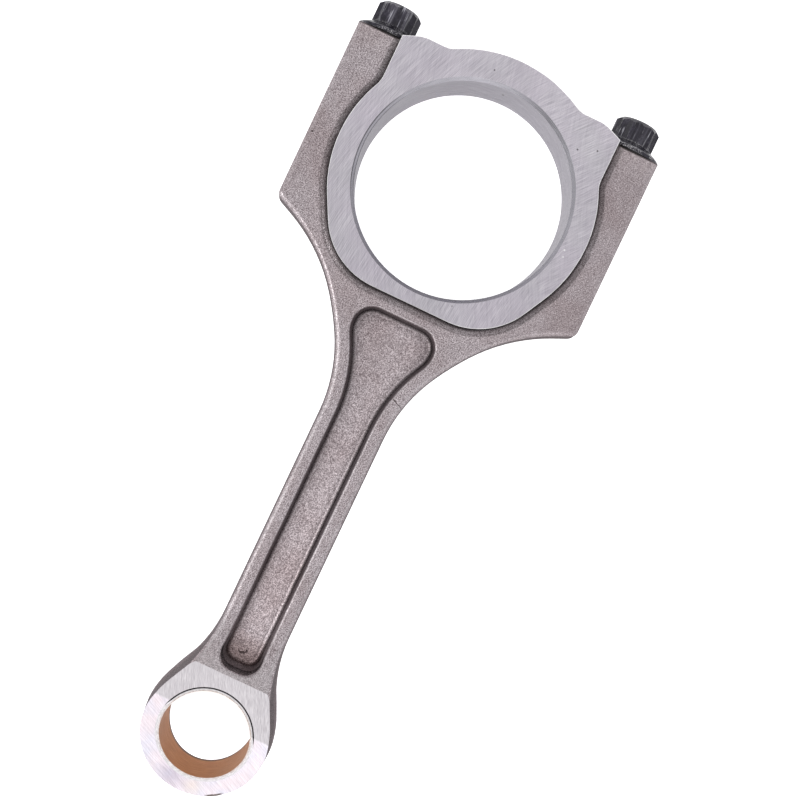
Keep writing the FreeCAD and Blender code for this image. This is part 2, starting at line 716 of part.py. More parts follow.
def add_bolt_head(body, label, corner, clock):
    """Twelve-point head: two hexagons turned by 30 degrees, chamfered and dished."""
    notch = val("bolt_head_flats") / 2 / math.cos(math.radians(15))
    star = []
    for k in range(24):
        angle = math.radians(15 * k + clock)
        radius = corner if k % 2 == 0 else notch
        star.append((radius * math.cos(angle), radius * math.sin(angle)))
    sketch = new_sketch(body, label + "_twelve_point", "YZ_Plane", loop(star))
    pad(body, label + "_head", sketch, "bolt_head_height", backwards=True)

    end = -val("bolt_head_height")
    # x, radius: steep just above the flats, then a 45 degree break at the end face
    chamfer = [
        (end - 1, 0.8 * corner), (end - 1, corner + 1), (end + 1.1, corner + 1),
        (end + 1.1, corner + 0.02), (end + 0.45, notch - 0.05), (end, notch - 0.55),
        (end, 0.8 * corner),
    ]
    dish = [(end - 1, 0), (end - 1, 3.9), (end, 3.1), (end + 0.7, 2.4), (end + 0.7, 0)]
    for sketch_name, cut_name, profile in (
        ("_head_end", "_head_chamfer", chamfer),
        ("_dish", "_head_dish", dish),
    ):
        sketch = new_sketch(body, label + sketch_name, "XY_Plane", loop(profile))
        groove(body, label + cut_name, sketch, "H_Axis")


def cut_thread(body, label):
    """M9 x 1 thread, cut from just beyond the tip towards the head."""
    radius, pitch = vals("bolt_radius", "thread_pitch")
    depth, root_half, clearance = 0.58, 0.08, 0.05
    mouth_half = pitch * 0.44
    start = val("bolt_length") + 0.4
    form = [
        (start - mouth_half, radius + clearance), (start + mouth_half, radius + clearance),
        (start + root_half, radius - depth), (start - root_half, radius - depth),
    ]
    sketch = new_sketch(body, label + "_thread_form", "XY_Plane", loop(form))
    helix = body.newObject("PartDesign::SubtractiveHelix", label + "_thread")
    helix.Profile = sketch
    helix.ReferenceAxis = (sketch, ["H_Axis"])
    helix.Mode = 0  # pitch and height
    helix.Pitch = pitch
    helix.Height = 16.6
    helix.Reversed = True
    body.Tip = helix
    checked(helix)


def build_bolt(label, y_sign, clock):
    """y_sign picks the side of the rod; clock turns the head, in degrees."""
    body = new_body(label)
    corner = val("bolt_head_flats") / 2 / math.cos(math.radians(30))
    turn_bolt(body, label, corner)
    add_bolt_head(body, label, corner, clock)
    cut_thread(body, label)
    body.setExpression("Placement.Base.x", "-dims.seat_x")
    body.setExpression("Placement.Base.y", y_sign + "dims.bolt_y")
    return body


# -------------------------------------------------------- build, check, write
bodies = [
    build_rod(),
    build_cap(),
    build_bush("small_end_bush_backing", "bush_outer", "bush_layer", val("bush_groove")),
    build_bush("small_end_bush_lining", "bush_layer", "bush_inner"),
    build_bolt("cap_bolt_left", "-", clock=9.0),
    build_bolt("cap_bolt_right", "", clock=21.0),
]
doc.recompute()
for item in doc.Objects:
    if "Invalid" in item.State or "Error" in item.State:
        raise RuntimeError(f"{item.Label}: {item.State}")
for body in bodies:
    shape = body.Shape
    if shape.isNull() or not shape.isValid() or len(shape.Solids) != 1:
        raise RuntimeError(f"{body.Label}: bad shape, {len(shape.Solids)} solids")
    shape.exportStep(f"parts/{body.Label}.step")
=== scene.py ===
import bpy
import json
import math
from types import SimpleNamespace
from mathutils import Matrix, Vector

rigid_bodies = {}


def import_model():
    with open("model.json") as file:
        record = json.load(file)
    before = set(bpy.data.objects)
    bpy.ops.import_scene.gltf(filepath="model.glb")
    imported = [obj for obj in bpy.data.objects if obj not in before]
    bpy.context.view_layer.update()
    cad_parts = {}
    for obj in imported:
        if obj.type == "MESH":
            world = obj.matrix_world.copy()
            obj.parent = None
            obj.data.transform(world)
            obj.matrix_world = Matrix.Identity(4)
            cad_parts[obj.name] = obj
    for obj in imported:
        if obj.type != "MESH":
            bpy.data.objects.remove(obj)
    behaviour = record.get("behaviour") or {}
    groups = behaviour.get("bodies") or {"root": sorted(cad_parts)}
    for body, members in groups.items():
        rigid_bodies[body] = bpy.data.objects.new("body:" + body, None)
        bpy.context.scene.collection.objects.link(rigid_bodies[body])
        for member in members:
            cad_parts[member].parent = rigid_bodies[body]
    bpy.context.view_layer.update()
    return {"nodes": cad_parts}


# Forged connecting rod: procedural finishes on the CAD pieces, in a plain studio.
# The rod lies flat along X with both bores along Z. The big end is centred on the origin, its cap
# and bolt heads point to -X and the small end to +X. Left is -Y and right is +Y.
# Objects are in metres. Lengths in the shaders and in finish_of are millimetres.

MM = 0.001                      # metres in a millimetre

# Driving places of the rod, mm
SMALL_END_X = 144.0             # axis of the small-end eye
BOLT_Y = 32.2                   # bolt axes lie at -BOLT_Y and +BOLT_Y
TAPER_SLOPE = math.radians(14.25)       # small-end taper, measured from the XY plane
TAPER_NORMAL = (math.sin(TAPER_SLOPE), math.cos(TAPER_SLOPE))      # its X and Z parts

# Centres of the arcs left by tools on the thrust faces, (x, y) in mm
GRIND_CENTRE = (36.6, 128.7)
RIGHT_GRIND_CENTRE = (240.0, 329.0)
CROSS_GRIND_CENTRE = (-70.0, 190.0)

for old in list(bpy.data.objects):
    bpy.data.objects.remove(old, do_unlink=True)

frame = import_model()
nodes = frame["nodes"]
scene = bpy.context.scene
scene.view_settings.view_transform = "Standard"
scene.view_settings.look = "None"
scene.view_settings.exposure = 0.0
scene.view_settings.gamma = 1.0


# ------------------------------------------------------------------ node kit
def put(tree, socket, value):
    """Link a Value into a socket, or set a constant there (colours gain an alpha of 1)."""
    if isinstance(value, Value):
        tree.links.new(value.socket, socket)
    elif socket.type == "RGBA" and len(value) == 3:
        socket.default_value = (*value, 1.0)
    else:
        socket.default_value = value


def add_node(tree, kind, inputs=None, output=0, **settings):
    """Add a node, fill its inputs by name or index, and return one output as a Value."""
    node = tree.nodes.new(kind)
    for name, setting in settings.items():
        setattr(node, name, setting)
    for key, value in (inputs or {}).items():
        put(tree, node.inputs[key], value)
    return Value(tree, node.outputs[output])


def math_node(tree, operation, *values, clamp=False):
    inputs = dict(enumerate(values))
    return add_node(tree, "ShaderNodeMath", inputs, operation=operation, use_clamp=clamp)


class Value:
    """A node output. Arithmetic on numbers and the methods below add nodes fed by it."""

    def __init__(self, tree, socket):
        self.tree = tree
        self.socket = socket

    # numbers
    def math(self, operation, *others):
        return math_node(self.tree, operation, self, *others)

    def __add__(self, other):
        return self.math("ADD", other)

    def __radd__(self, other):
        return math_node(self.tree, "ADD", other, self)

    def __sub__(self, other):
        return self.math("SUBTRACT", other)

    def __rsub__(self, other):
        return math_node(self.tree, "SUBTRACT", other, self)

    def __mul__(self, other):
        return self.math("MULTIPLY", other)

    def __abs__(self):
        return self.math("ABSOLUTE")

    def max(self, other):
        return self.math("MAXIMUM", other)

    def fade(self, start, end, first=0.0, last=1.0, smooth=False):
        """Go from first, where this value is start, to last, where it is end; held beyond."""
        inputs = dict(enumerate((self, start, end, first, last)))
        shape = "SMOOTHSTEP" if smooth else "LINEAR"
        return add_node(self.tree, "ShaderNodeMapRange", inputs,
                        interpolation_type=shape, clamp=True)

    def between(self, at_zero, at_one):
        """Blend two numbers, with this value as the factor."""
        inputs = {0: self, 2: at_zero, 3: at_one}
        return add_node(self.tree, "ShaderNodeMix", inputs, data_type="FLOAT")

    def ramp(self, *stops):
        """Colour ramp over (position, colour) stops."""
        colour_value = add_node(self.tree, "ShaderNodeValToRGB", {0: self})
        elements = colour_value.socket.node.color_ramp.elements
        while len(elements) < len(stops):
            elements.new(0.5)
        for element, (position, colour) in zip(elements, stops):
            element.position = position
            element.color = (*colour, 1.0)
        return colour_value

    def bump(self, strength, depth, over=None):
        """Normal bumped by this height; depth is in mm, and over is a normal to build on."""
        inputs = {"Strength": strength, "Distance": depth * MM, "Height": self}
        if over is not None:
            inputs["Normal"] = over
        return add_node(self.tree, "ShaderNodeBump", inputs)

    # vectors
    def split(self):
        first = add_node(self.tree, "ShaderNodeSeparateXYZ", {0: self})
        return [Value(self.tree, socket) for socket in first.socket.node.outputs]

    def vector_math(self, operation, other, output="Vector"):
        return add_node(self.tree, "ShaderNodeVectorMath", {0: self, 1: other}, output,
                        operation=operation)

    def shift(self, offset):
        return self.vector_math("ADD", offset)

    def stretch(self, factors):
        return self.vector_math("MULTIPLY", factors)

    def distance(self, place):
        return self.vector_math("DISTANCE", place, "Value")

    def dot(self, other):
        return self.vector_math("DOT_PRODUCT", other, "Value")

    def noise(self, scale, detail, rough=0.55):
        inputs = {"Vector": self, "Scale": scale, "Detail": detail, "Roughness": rough}
        return add_node(self.tree, "ShaderNodeTexNoise", inputs)

    def cells(self, scale, output="Distance", smooth=None):
        inputs = {"Vector": self, "Scale": scale}
        if smooth is not None:
            inputs["Smoothness"] = smooth
        feature = "F1" if smooth is None else "SMOOTH_F1"
        return add_node(self.tree, "ShaderNodeTexVoronoi", inputs, output, feature=feature)

    def pits(self, scale, size, rarity):
        """Round specks in some cells: size fades the distance, rarity the cell's random red."""
        distance = self.cells(scale)
        chance = self.cells(scale, "Color").split()[0]
        return distance.fade(*size) * chance.fade(*rarity)

    # colours
    def toward(self, colour, amount, blend="MIX"):
        inputs = {0: amount, 6: self, 7: colour}
        return add_node(self.tree, "ShaderNodeMix", inputs, 2, data_type="RGBA",
                        blend_type=blend)

    def times(self, colour):
        return self.toward(colour, 1.0, "MULTIPLY")

    def wash(self, colour, amount):
        """Multiply by a colour, as far as amount says."""
        return self.toward(self.times(colour), amount)


class Finish:
    """A material with one Principled shader; position is the object coordinates in mm."""

    def __init__(self, name):
        self.material = bpy.data.materials.new(name)
        self.material.use_nodes = True
        self.tree = self.material.node_tree
        self.tree.nodes.clear()
        output = self.tree.nodes.new("ShaderNodeOutputMaterial")
        self.shader = self.tree.nodes.new("ShaderNodeBsdfPrincipled")
        self.tree.links.new(self.shader.outputs[0], output.inputs[0])
        coordinates = self.tree.nodes.new("ShaderNodeTexCoord").outputs
        self.normal = Value(self.tree, coordinates["Normal"])
        self.position = add_node(
            self.tree, "ShaderNodeVectorMath",
            {0: Value(self.tree, coordinates["Object"]), "Scale": 1000.0}, "Vector",
            operation="SCALE")

    def vector(self, x, y, z):
        return add_node(self.tree, "ShaderNodeCombineXYZ", {0: x, 1: y, 2: z})

    def openness(self, reach, samples):
        """Ambient occlusion over reach mm: 1 in the open, lower in hollows."""
        return add_node(self.tree, "ShaderNodeAmbientOcclusion", {"Distance": reach * MM}, "AO",
                        samples=samples, only_local=True)

    def edge(self, radius, samples):
        """0 on flat ground, rising towards 1 on edges; radius is in mm."""
        rounded = add_node(self.tree, "ShaderNodeBevel", {"Radius": radius * MM},
                           samples=samples)
        plain = add_node(self.tree, "ShaderNodeNewGeometry", output="Normal")
        return rounded.dot(plain).fade(0.999, 0.90)

    def surface(self, **inputs):
        """Set Principled inputs, with underscores for spaces, and return the material."""
        for name, value in inputs.items():
            put(self.tree, self.shader.inputs[name.replace("_", " ")], value)
        return self.material


def radius_of(offset_x, offset_y):
    return (offset_x * offset_x + offset_y * offset_y).math("SQRT")


def turned_axes(along, across, cosine, sine):
    """A pair of plane coordinates turned by an angle."""
    return along * cosine + across * sine, across * cosine - along * sine


def arc_space(mat, centre, along, across=1.0):
    """Coordinates (radius, angle, z) about a centre; along and across scale angle and radius."""
    x, y, z = mat.position.split()
    offset_x = x - centre[0]
    offset_y = y - centre[1]
    radius = radius_of(offset_x, offset_y)
    angle = offset_y.math("ARCTAN2", offset_x)
    return mat.vector(radius * across, angle * along, z * 0.3)


def spots(mat, places):
    """1 inside small round marks at the given (x, y, radius) places."""
    x, y, z = mat.position.split()
    total = None
    for spot_x, spot_y, radius in places:
        spot = radius_of(x - spot_x, y - spot_y).fade(radius, radius * 0.45)
        total = spot if total is None else total.max(spot)
    return total


# --------------------------------------------------------------- forged skin
def forged_shape(mat):
    """What the forged skin reads from the shape of the rod."""
    x, y, z = mat.position.split()
    high = abs(z)
    return SimpleNamespace(
        x=x, y=y, z=z,
        high=high,                                      # height from the middle plane
        tight=mat.openness(reach=2.2, samples=12),
        wide=mat.openness(reach=6.0, samples=8),
        steep=1.0 - abs(mat.normal.split()[2]),         # 0 on flat faces, 1 on upright walls
        facing_y=mat.normal.split()[1],
        at_step=high.fade(6.9, 7.3))                    # 1 above the channel rim


def forged_painted_shading(shape):
    """Painted shade and light on the skin, as a brightness factor: 1 on open ground, lower in
    hollows, at steps and on walls, higher where light is painted.
    """
    x, y, high, facing_y = shape.x, shape.y, shape.high, shape.facing_y
    tight, wide, steep, at_step = shape.tight, shape.wide, shape.steep, shape.at_step
    # painted shade at the steps and feet of walls, separately for gentle and steep slopes
    hollow = at_step.between(tight.fade(0.99, 0.84), wide.fade(0.985, 0.925))
    leaning = at_step.between(steep.fade(0.010, 0.16), steep.fade(0.001, 0.012)) * hollow
    upright = steep.fade(0.12, 0.55) * hollow
    shade = 1.0 - (leaning * at_step.between(0.58, 0.52) + upright * at_step.between(0.28, 0.34))
    # painted shade: the bend of a step is darker where it faces left
    bend = at_step * hollow * (steep.fade(0.05, 0.12) * steep.fade(0.40, 0.28))
    shade = shade * (1.0 - bend * facing_y.fade(0.10, -0.10, first=0.20, last=0.60))
    # painted shade on the channel's right wall, painted light on its steep small-end corner
    in_channel = high.fade(7.3, 6.9) * tight.fade(0.985, 0.93)
    right_wall = in_channel * facing_y.fade(-0.55, -0.85) * y.fade(0.0, 1.0)
    pocket = abs(y).fade(5.5, 5.1) * x.fade(127.9, 127.2) * x.fade(96.0, 124.0)
    deep_end = pocket * steep.fade(0.25, 0.60)
    shade = shade * (1.0 - right_wall * 0.24)
    shade = shade * (1.0 + deep_end * 0.55)
    # the right floor fillet of the channel catches the light
    left_facing = facing_y.fade(-0.04, -0.16) * facing_y.fade(-0.52, -0.34)
    gleam = left_facing * (high.fade(3.8, 3.4) * y.fade(0.5, 2.0))
    shade = shade * (1.0 + gleam * x.fade(60.0, 95.0, first=0.35) * 0.40)
    # painted shade in narrow and in broad hollows
    shade = shade * tight.fade(0.60, 0.955, first=0.46)
    shade = shade * wide.fade(0.35, 0.75, first=0.75)
    # painted light on flat ground a little way off a wall
    near_wall = wide.fade(0.84, 0.90) * wide.fade(0.985, 0.94)
    shade = shade + near_wall * steep.fade(0.01, 0.002) * 0.16
    # painted shade on the drafted outer walls, which come out darker than the faces
    outer = steep.fade(0.55, 0.90) * tight.fade(0.85, 0.97)
    return shade * (1.0 - outer * 0.55)


def forged_wear_and_painted_light(mat, base, shape):
    """Rubbed edges with a painted highlight, rubbed ears, a painted shadow line under the bolt
    flanges and a pit.
    """
    pos, x, y, z, steep = mat.position, shape.x, shape.y, shape.z, shape.steep
    # edges rubbed lighter: partly wear, partly a painted highlight on the fillets
    rub_and_highlight = steep.fade(0.02, 0.09) * steep.fade(0.34, 0.20) * shape.tight.fade(0.90, 0.985)
    rub_and_highlight = rub_and_highlight * pos.noise(scale=1.6, detail=3.0, rough=0.7).fade(0.36, 0.60, first=0.35)
    rub_and_highlight = rub_and_highlight * (1.0 - shape.at_step * shape.wide.fade(0.985, 0.94))
    rub_and_highlight = rub_and_highlight * (1.0 - abs(y).fade(14.0, 22.0) * 0.6)
    base = base.toward((0.82, 0.80, 0.805), rub_and_highlight * 0.34)
    # ears rubbed near the bolt seats
    patches = pos.noise(scale=1.1, detail=4.0, rough=0.7).fade(0.44, 0.62)
    base = base.toward((0.80, 0.73, 0.72), x.fade(-20.0, -25.5) * patches * 0.30)
    # painted shadow: a black line where the bolt flange meets the ear
    flange_shadow = x.fade(-25.72, -25.95) * abs(y).fade(28.9, 29.2)
    base = base.toward((0.030, 0.022, 0.022), flange_shadow * 0.80)
    # small pit on top of the left arm
    pit = spots(mat, [(2.5, -38.5, 0.34)]) * z.fade(6.0, 7.0)
    return base.toward((0.05, 0.035, 0.035), pit)


def rim_nick(shape, grain):
    """A slanting nick across the right rim of the channel."""
    nick_x, nick_y, slant = 52.5, 7.6, -0.42
    across = abs(shape.x + (shape.y - nick_y) * slant - nick_x)
    ragged = (across + (grain - 0.5) * 0.5).fade(0.22, 0.06)
    return ragged * (abs(shape.y - nick_y).fade(1.5, 1.1) * shape.z.fade(5.0, 6.0))


def floor_mark(pos, shape, grain):
    """A curved tool mark on the channel floor by the small end, and the smut around it."""
    offset_x = shape.x - 123.8
    offset_y = shape.y + 0.1
    along = offset_x * -0.43 + offset_y * 0.90
    across = offset_x * 0.90 + offset_y * 0.43
    bent = across + along * along * 0.35
    bent = abs(bent) + (grain - 0.5) * 0.8
    mark = bent.fade(0.44, 0.16) * abs(along).fade(1.5, 0.9) * shape.z.fade(0.0, 1.0)
    blur = radius_of(offset_x + 1.6, offset_y + 1.0).fade(3.4, 0.6)
    patches = pos.noise(scale=0.7, detail=3.0, rough=0.65).fade(0.36, 0.62, first=0.45)
    return mark, blur * shape.z.fade(0.0, 1.0) * patches


def forged():
    """Shot-blasted skin: peened dimples, grey-brown scale, sparkles, painted shade at the steps,
    rubbed edges with a painted highlight.
    """
    mat = Finish("forged_skin")
    pos = mat.position
    shape = forged_shape(mat)
    x, y, z = shape.x, shape.y, shape.z
    grain = pos.noise(scale=3.8, detail=2.0, rough=0.65)
    fine = pos.noise(scale=7.5, detail=1.0, rough=0.5)
    clump = pos.noise(scale=0.8, detail=2.0, rough=0.5)
    blotch = pos.noise(scale=0.085, detail=3.0, rough=0.55)
    dents = pos.cells(scale=2.8, smooth=0.30)
    tone = grain * 0.64 + (fine * 0.30 + clump * 0.06)
    # the right arm and the channel floor have less contrast
    calm = y.fade(12.0, 26.0) * x.fade(40.0, 22.0)
    contrast = calm.between(1.45, 0.92) * abs(z).fade(5.0, 3.0, first=1.0, last=0.84)
    tone = 0.5 + (tone - 0.5) * contrast
    base = tone.ramp((0.38, (0.205, 0.180, 0.183)),
                     (0.50, (0.388, 0.351, 0.360)),
                     (0.62, (0.690, 0.652, 0.662)))
    cool, warm = base.times((1.05, 1.05, 1.06)), base.times((0.90, 0.86, 0.86))
    base = cool.toward(warm, blotch.fade(0.38, 0.66))
    # bright flecks where shot has struck clean metal, and dark pores
    red, green, _ = pos.cells(scale=2.6, output="Color").split()
    near = pos.cells(scale=2.6)
    fleck = red.fade(0.88, 0.91) * near.fade(0.38, 0.20)
    base = base.toward((0.86, 0.83, 0.83), fleck * 0.42)
    pore = green.fade(0.90, 0.93) * near.fade(0.38, 0.20)
    base = base.toward((0.09, 0.075, 0.072), pore * 0.42)
    # the channel floor is lighter towards the small end
    floor_lighter = x.fade(40.0, 125.0, first=0.25) * abs(z).fade(5.0, 3.0)
    base = base.wash((1.36, 1.33, 1.32), floor_lighter)
    # painted shade and painted light, multiplied into the colour
    shade = forged_painted_shading(shape)
    base = base.times(mat.vector(shade, shade * 0.975, shade * 0.98))
    base = forged_wear_and_painted_light(mat, base, shape)
    nick = rim_nick(shape, grain)
    mark, smut = floor_mark(pos, shape, grain)
    marks = nick.max(mark * 0.95).max(smut * 0.32)
    base = base.toward((0.060, 0.045, 0.043), marks * 0.85)
    # rusty end of the channel floor
    rust = x.fade(118.0, 124.5) * abs(y).fade(5.5, 5.1) * (
        x.fade(127.9, 127.2) * shape.high.fade(4.2, 3.2))
    base = base.wash((0.98, 0.87, 0.83), rust)
    rough = fleck.between(tone.fade(0.38, 0.62, first=0.58, last=0.40), 0.30)
    height = dents * 0.7 + grain * 0.5
    height = height - nick.max(mark) * 1.5
    peened = height.bump(strength=0.65, depth=0.075)
    wavy = pos.noise(scale=0.33, detail=2.0, rough=0.5).bump(
        strength=0.30, depth=0.30, over=peened)
    return mat.surface(Base_Color=base, Metallic=0.80, Roughness=rough, Normal=wavy,
                       Specular_IOR_Level=0.4, Specular_Tint=(0.30, 0.28, 0.29))


# ----------------------------------------------------------- machined faces
def ground():
    """Thrust faces: ground in long shallow arcs, light steel, faintly violet, a few pits."""
    mat = Finish("ground_face")
    pos = mat.position
    x, y, z = pos.split()
    # the pass over the right-hand side ran at a flatter angle
    side = x * -0.429 + y * 0.903
    ragged = pos.noise(scale=0.12, detail=2.0) * 6.0
    other = (side + ragged).fade(14.0, 26.0, smooth=True)
    first = arc_space(mat, GRIND_CENTRE, along=3.4)
    second = arc_space(mat, RIGHT_GRIND_CENTRE, along=11.0)
    fine = other.between(*(arcs.noise(scale=7.4, detail=2.0, rough=0.6)
                           for arcs in (first, second)))
    mid = other.between(*(arcs.noise(scale=2.2, detail=2.0, rough=0.55)
                          for arcs in (first, second)))
    wide = arc_space(mat, GRIND_CENTRE, along=9.0).noise(scale=0.22, detail=2.0, rough=0.5)
    cross = arc_space(mat, CROSS_GRIND_CENTRE, along=7.0).noise(
        scale=4.2, detail=2.0, rough=0.6)
    broad = pos.noise(scale=0.085, detail=3.0, rough=0.55)
    tint = pos.shift((31.0, 17.0, 5.0)).noise(scale=0.07, detail=2.0, rough=0.5)
    lines = fine * 0.66 + (mid * other.between(0.06, 0.12) + (cross * 0.22 + wide * 0.06))
    base = lines.ramp((0.36, (0.440, 0.424, 0.466)),
                      (0.50, (0.588, 0.568, 0.614)),
                      (0.64, (0.745, 0.723, 0.764)))
    # brighter towards the cap, duller to the right
    bright = (x.fade(-38.0, 34.0, first=1.09, last=0.97)
              * y.fade(14.0, 32.0, first=1.0, last=0.925))
    base = base.times(mat.vector(bright, bright, bright))
    base = base.wash((1.01, 0.978, 1.012), tint.fade(0.40, 0.62) * 0.7)
    base = base.wash((0.90, 0.905, 0.90), broad.fade(0.42, 0.68, last=0.6))
    # single bright hairlines
    hair = arc_space(mat, GRIND_CENTRE, along=5.0).noise(scale=4.4, detail=1.0, rough=0.4)
    base = base.toward((0.92, 0.90, 0.91), hair.fade(0.66, 0.74) * 0.34)
    # coarse wheel marks on the right flange of the cap
    gouge_x, gouge_y, squeeze_y = -24.5, 22.5, 0.75
    near = radius_of(x - gouge_x, (y - gouge_y) * squeeze_y).fade(8.0, 2.5)
    gouge = arc_space(mat, RIGHT_GRIND_CENTRE, along=9.0).noise(
        scale=2.3, detail=1.5, rough=0.5)
    deep = near * gouge.fade(0.53, 0.70)
    base = base.toward((0.24, 0.23, 0.24), deep * 0.30)
    # small random pits and a few fixed ones
    pit = pos.stretch((1.0, 1.0, 0.2)).pits(
        scale=0.26, size=(0.060, 0.025), rarity=(0.80, 0.82))
    pit = pit.max(spots(mat, [(-28.82, -5.48, 0.28), (-20.43, 20.39, 0.30),
                              (-22.17, 24.84, 0.30), (25.9, 9.42, 0.2)]))
    base = base.toward((0.06, 0.05, 0.055), pit * 0.80)
    # a shining bruise on the upper face, on the right
    bruise = spots(mat, [(2.4, 27.9, 0.30), (4.0, 28.3, 0.22)]) * z.fade(9.0, 9.5)
    base = base.toward((1.0, 1.0, 1.0), bruise)
    rough = lines.fade(0.35, 0.65, first=0.36, last=0.27) + pit * 0.3
    brushed = lines.bump(strength=0.20, depth=0.025)
    sunk = ((pit + deep * 0.35) * -1.0).bump(strength=0.5, depth=0.10, over=brushed)
    return mat.surface(Base_Color=base, Metallic=1.0, Roughness=rough, Normal=sunk)


def bore():
    """Honed big-end bore: smooth, darker than the faces, with crossed honing marks."""
    mat = Finish("honed_bore")
    pos = mat.position
    x, y, z = pos.split()
    around = y.math("ARCTAN2", x) * 26.0            # roughly mm of arc
    # two families of marks, stretched along opposite diagonals
    rising = mat.vector((around + z * 1.7) * 1.6, (z - around * 0.58) * 0.08, 0.0)
    falling = mat.vector((around - z * 1.7) * 1.6, (z + around * 0.58) * 0.08, 4.0)
    hone = (rising.noise(scale=1.6, detail=2.0) + falling.noise(scale=1.6, detail=2.0)) * 0.5
    broad = pos.noise(scale=0.09, detail=2.0)
    base = hone.ramp((0.36, (0.262, 0.246, 0.285)),
                     (0.50, (0.312, 0.294, 0.335)),
                     (0.64, (0.380, 0.362, 0.400)))
    base = base.wash((0.86, 0.86, 0.88), broad.fade(0.4, 0.7, last=0.5))
    pit = pos.pits(scale=0.23, size=(0.10, 0.05), rarity=(0.78, 0.80))
    # two fixed pits, elongated along Z
    squat = pos.stretch((1.0, 1.0, 0.40))
    for place in ((-25.975, -1.13, 0.97), (5.75, 25.36, -0.99)):
        pit = pit.max(squat.distance(place).fade(0.42, 0.22))
    base = base.toward((0.06, 0.055, 0.06), pit * 0.8)
    return mat.surface(Base_Color=base, Metallic=1.0,
                       Roughness=hone.fade(0.35, 0.65, first=0.38, last=0.26),
                       Normal=hone.bump(strength=0.12, depth=0.02))


def turned(name, steel, dark_rough, light_rough, contrast=(0.74, 1.22), dark_borders=False):
    """Turned surface with rings about the big-end axis; contrast scales steel both ways."""
    mat = Finish(name)
    arcs = arc_space(mat, (0.0, 0.0), along=2.0)
    x, y, z = mat.position.split()
    rings = mat.vector(arcs.split()[0], arcs.split()[1], z * 1.0).noise(scale=3.6, detail=2.0)
    darker, lighter = contrast
    base = rings.ramp((0.35, tuple(part * darker for part in steel)),
                      (0.50, steel),
                      (0.65, tuple(min(1.0, part * lighter) for part in steel)))
    base = base.toward((0.88, 0.88, 0.89), mat.edge(radius=0.18, samples=4) * 0.35)
    if dark_borders:
        # darker bands at the outer and inner borders of the chamfer, on the left side
        reach = radius_of(x, y)
        left = y.fade(-14.0, -20.0) * (x.fade(-15.0, -9.0) * x.fade(14.0, 8.0))
        base = base.toward((0.10, 0.098, 0.108), reach.fade(26.52, 26.68) * left * 0.75)
        base = base.toward((0.14, 0.138, 0.150), reach.fade(26.22, 26.10) * left * 0.60)
    return mat.surface(Base_Color=base, Metallic=1.0,
                       Roughness=rings.fade(0.35, 0.65, first=dark_rough, last=light_rough),
                       Normal=rings.bump(strength=0.10, depth=0.02))


def milled():
    """Small-end faces: bright, with straight fine brushing across the eye."""
    mat = Finish("milled_face")
    pos = mat.position
    x, y, z = pos.split()
    along, across = turned_axes(x, y, cosine=0.903, sine=0.429)
    across = across + pos.noise(scale=0.08, detail=1.0) * 1.6
    fine = mat.vector(along * 0.060, across, 0.0).noise(scale=8.0, detail=2.0, rough=0.6)
    mid = mat.vector(along * 0.030, across, 7.0).noise(scale=2.6, detail=2.0, rough=0.6)
    # the tapered part was cut in another pass, askew to the flat
    skew = math.radians(38)
    taper_along, taper_across = turned_axes(along, across, math.cos(skew), math.sin(skew))
    taper_lines = mat.vector(taper_along * 0.05, taper_across, 3.0).noise(
        scale=4.5, detail=2.0, rough=0.6)
    on_taper = abs(z).fade(11.27, 11.20)
    lines = fine * 0.74 + mid * 0.26
    calm = taper_lines * 0.55 + 0.245
    lines = (on_taper * 0.75).between(lines, calm)
    base = lines.ramp((0.37, (0.535, 0.510, 0.532)),
                      (0.50, (0.668, 0.642, 0.662)),
                      (0.63, (0.820, 0.795, 0.812)))
    hue = pos.shift((11.0, 3.0, 9.0)).noise(scale=0.16, detail=2.0, rough=0.5)
    cool, warm = base.times((1.08, 1.10, 1.18)), base.times((1.20, 1.13, 1.15))
    base = base.toward(cool.toward(warm, hue.fade(0.38, 0.62)), on_taper)
    # a duller patch, a straw-coloured stain and a black nick near the tip
    dull = pos.distance((157.3, -3.2, 8.0)).fade(5.2, 1.6)
    base = base.wash((0.74, 0.75, 0.81), dull)
    straw = pos.distance((157.5, 2.6, 7.5)).fade(3.4, 0.8)
    base = base.wash((0.98, 0.92, 0.82), straw)
    reach = ((x - SMALL_END_X) * (x - SMALL_END_X) + y * y).math("SQRT")
    ragged = pos.noise(scale=1.2, detail=3.0, rough=0.7) * 0.6
    nick = (reach + ragged).fade(15.56, 15.74) * abs(y - 8.2).fade(2.1, 1.2)
    base = base.toward((0.16, 0.13, 0.12), nick * (on_taper * z.fade(0.0, 1.0)))
    pit = pos.shift((3.0, 8.0, 1.0)).pits(scale=0.26, size=(0.09, 0.04), rarity=(0.82, 0.84))
    base = base.toward((0.15, 0.14, 0.14), pit * 0.7)
    return mat.surface(Base_Color=base, Metallic=1.0,
                       Roughness=lines.fade(0.35, 0.65, first=0.40, last=0.28),
                       Normal=lines.bump(strength=0.20, depth=0.03))


def fracture():
    """Cracked joint face: crystalline, dull grey, sparkling."""
    mat = Finish("cracked_face")
    pos = mat.position
    grain = pos.noise(scale=1.8, detail=5.0, rough=0.75)
    crystal = pos.cells(scale=2.2)
    red, green, blue = pos.cells(scale=2.2, output="Color").split()
    base = grain.ramp((0.35, (0.13, 0.125, 0.125)),
                      (0.52, (0.33, 0.32, 0.32)),
                      (0.66, (0.62, 0.61, 0.61)))
    base = base.toward((0.88, 0.87, 0.87), red.fade(0.82, 0.88) * 0.7)
    base = base.toward((0.07, 0.065, 0.065), green.fade(0.80, 0.88) * 0.6)
    height = grain * 1.4 + (crystal + blue * 0.5)
    return mat.surface(Base_Color=base, Metallic=0.9,
                       Roughness=blue.fade(0.0, 1.0, first=0.28, last=0.70),
                       Normal=height.bump(strength=0.9, depth=0.30))


